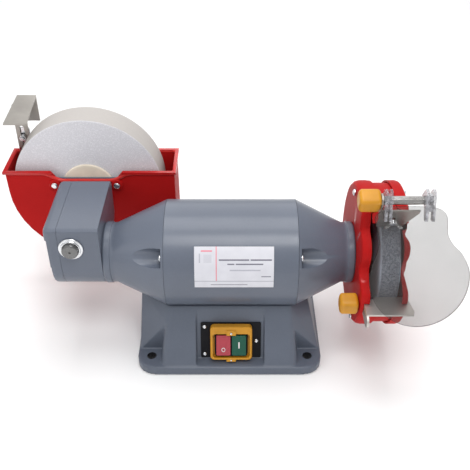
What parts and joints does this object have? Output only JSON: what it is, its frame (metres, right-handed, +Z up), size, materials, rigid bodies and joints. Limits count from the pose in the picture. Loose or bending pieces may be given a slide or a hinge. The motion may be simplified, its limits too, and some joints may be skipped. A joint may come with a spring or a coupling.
{
  "type": "bench grinder",
  "caption": "Combination bench grinder: a guarded dry wheel with eye shield and tool rest on the motor shaft, and a slow wet stone in a water tray driven by a worm gearbox.",
  "frame": {"origin": "centre of the base's underside, on the bench", "axes": "+X along the motor shaft towards the dry wheel, +Y away from the operator, along the wet stone's shaft, +Z up"},
  "size_m": [0.5734, 0.291, 0.2705],
  "materials": {
    "grey_blue_paint": "satin enamel",
    "base_paint": "satin enamel on a casting",
    "red_paint": "gloss enamel",
    "steel": "plain sheet and turned steel",
    "zinc_plated_steel": "bright zinc plate",
    "dark_steel": "laminated core, dull",
    "copper_winding": "varnished copper wire",
    "bronze": "machined bronze",
    "black_plastic": "moulded, matt",
    "yellow_plastic": "moulded, satin",
    "orange_knob_plastic": "moulded, satin",
    "stop_red_plastic": "moulded, satin",
    "start_green_plastic": "moulded, satin",
    "wet_stone_grit": "fine bonded grit",
    "dry_stone_grit": "coarse bonded grit, speckled",
    "cream_plastic": "moulded flange, matt",
    "clear_plastic": "clear sheet",
    "white_label": "printed plate, no text"
  },
  "bodies": {
    "grinder": {"base_casting": "base_paint", "base_plate": "steel", "cable_gland": "black_plastic", "capacitor": "black_plastic", "dry_rest_bolt": "zinc_plated_steel", "front_bush": "bronze", "gear_cover": "grey_blue_paint", "gear_housing": "grey_blue_paint", "guard_band": "red_paint", "guard_bolt_back": "zinc_plated_steel", "guard_bolt_bottom": "zinc_plated_steel", "guard_bolt_top": "zinc_plated_steel", "guard_inner_cover": "red_paint", "guard_outer_cover": "red_paint", "left_bearing": "zinc_plated_steel", "left_end_bell": "grey_blue_paint", "motor_shell": "grey_blue_paint", "rear_bush": "bronze", "right_bearing": "zinc_plated_steel", "right_end_bell": "grey_blue_paint", "stator_core": "dark_steel", "stator_windings": "copper_winding", "switch_frame": "yellow_plastic", "switch_plate": "black_plastic", "tie_bolt_back": "zinc_plated_steel", "tie_bolt_bottom": "zinc_plated_steel", "tie_bolt_front": "zinc_plated_steel", "tray_screw_left": "zinc_plated_steel", "tray_screw_right": "zinc_plated_steel", "type_plate": "white_label", "water_tray": "red_paint", "wet_rest_bolt": "zinc_plated_steel", "wet_rest_bracket": "steel", "wet_rest_nut": "zinc_plated_steel", "worm_end_bearing": "zinc_plated_steel"},
    "rotor": {"rotor_shaft": "steel", "rotor_core": "dark_steel", "worm": "steel", "dry_stone": "dry_stone_grit", "dry_outer_flange": "zinc_plated_steel", "dry_wheel_nut": "zinc_plated_steel"},
    "wet_wheel": {"wet_shaft": "steel", "worm_wheel": "bronze", "wet_stone": "wet_stone_grit", "front_hub": "cream_plastic", "rear_hub": "cream_plastic", "wet_nut": "zinc_plated_steel", "shaft_washer": "zinc_plated_steel"},
    "stop_push": {"stop_button": "stop_red_plastic"},
    "start_push": {"start_button": "start_green_plastic"},
    "spark_arm": {"spark_bracket": "steel"},
    "spark_wing_screw": {"wing_screw": "zinc_plated_steel"},
    "shield": {"shield_rod": "zinc_plated_steel", "eye_shield": "clear_plastic", "shield_clip_left": "clear_plastic", "shield_clip_right": "clear_plastic"},
    "shield_clamp_knob": {"shield_knob": "orange_knob_plastic"},
    "rest_clamp_knob": {"rest_knob": "orange_knob_plastic"},
    "dry_tool_rest": {"dry_rest": "steel"},
    "wet_tool_rest": {"wet_rest": "steel"}
  },
  "joints": [
    {"name": "rotor_spin", "type": "hinge", "parent": "grinder", "child": "rotor", "pos_m": [0, 0, 0.134], "axis": [1, 0, 0], "continuous": true},
    {"name": "wet_spin", "type": "hinge", "parent": "grinder", "child": "wet_wheel", "pos_m": [-0.19, 0, 0.168], "axis": [0, 1, 0], "continuous": true},
    {"name": "stop_press", "type": "slide", "parent": "grinder", "child": "stop_push", "axis": [0, 0.9615, -0.2748], "range_m": [0, 0.0025], "stiffness_N_per_m": 800},
    {"name": "start_press", "type": "slide", "parent": "grinder", "child": "start_push", "axis": [0, 0.9615, -0.2748], "range_m": [0, 0.0025], "stiffness_N_per_m": 800},
    {"name": "spark_slide", "type": "slide", "parent": "grinder", "child": "spark_arm", "axis": [0, 0.5, -0.866], "range_m": [-0.0024, 0.006]},
    {"name": "wing_screw_turn", "type": "hinge", "parent": "grinder", "child": "spark_wing_screw", "pos_m": [0.188, -0.04942, 0.21839], "axis": [0, -0.866, -0.5], "continuous": true},
    {"name": "shield_tilt", "type": "hinge", "parent": "spark_arm", "child": "shield", "pos_m": [0.19, -0.056, 0.249], "axis": [-1, 0, 0], "range_deg": [0, 100]},
    {"name": "shield_knob_turn", "type": "hinge", "parent": "shield", "child": "shield_clamp_knob", "pos_m": [0.19, -0.056, 0.249], "axis": [1, 0, 0], "continuous": true},
    {"name": "rest_knob_turn", "type": "hinge", "parent": "grinder", "child": "rest_clamp_knob", "pos_m": [0.1447, -0.076, 0.114], "axis": [1, 0, 0], "continuous": true},
    {"name": "dry_rest_slide", "type": "slide", "parent": "grinder", "child": "dry_tool_rest", "axis": [0, -1, 0], "range_m": [0, 0.0065]},
    {"name": "wet_rest_slide", "type": "slide", "parent": "grinder", "child": "wet_tool_rest", "axis": [0, 0, 1], "range_m": [-0.0135, 0.0095]}
  ],
  "couplings": [
    {"joint": "wet_spin", "follows": "rotor_spin", "ratio": 0.045455}
  ]
}
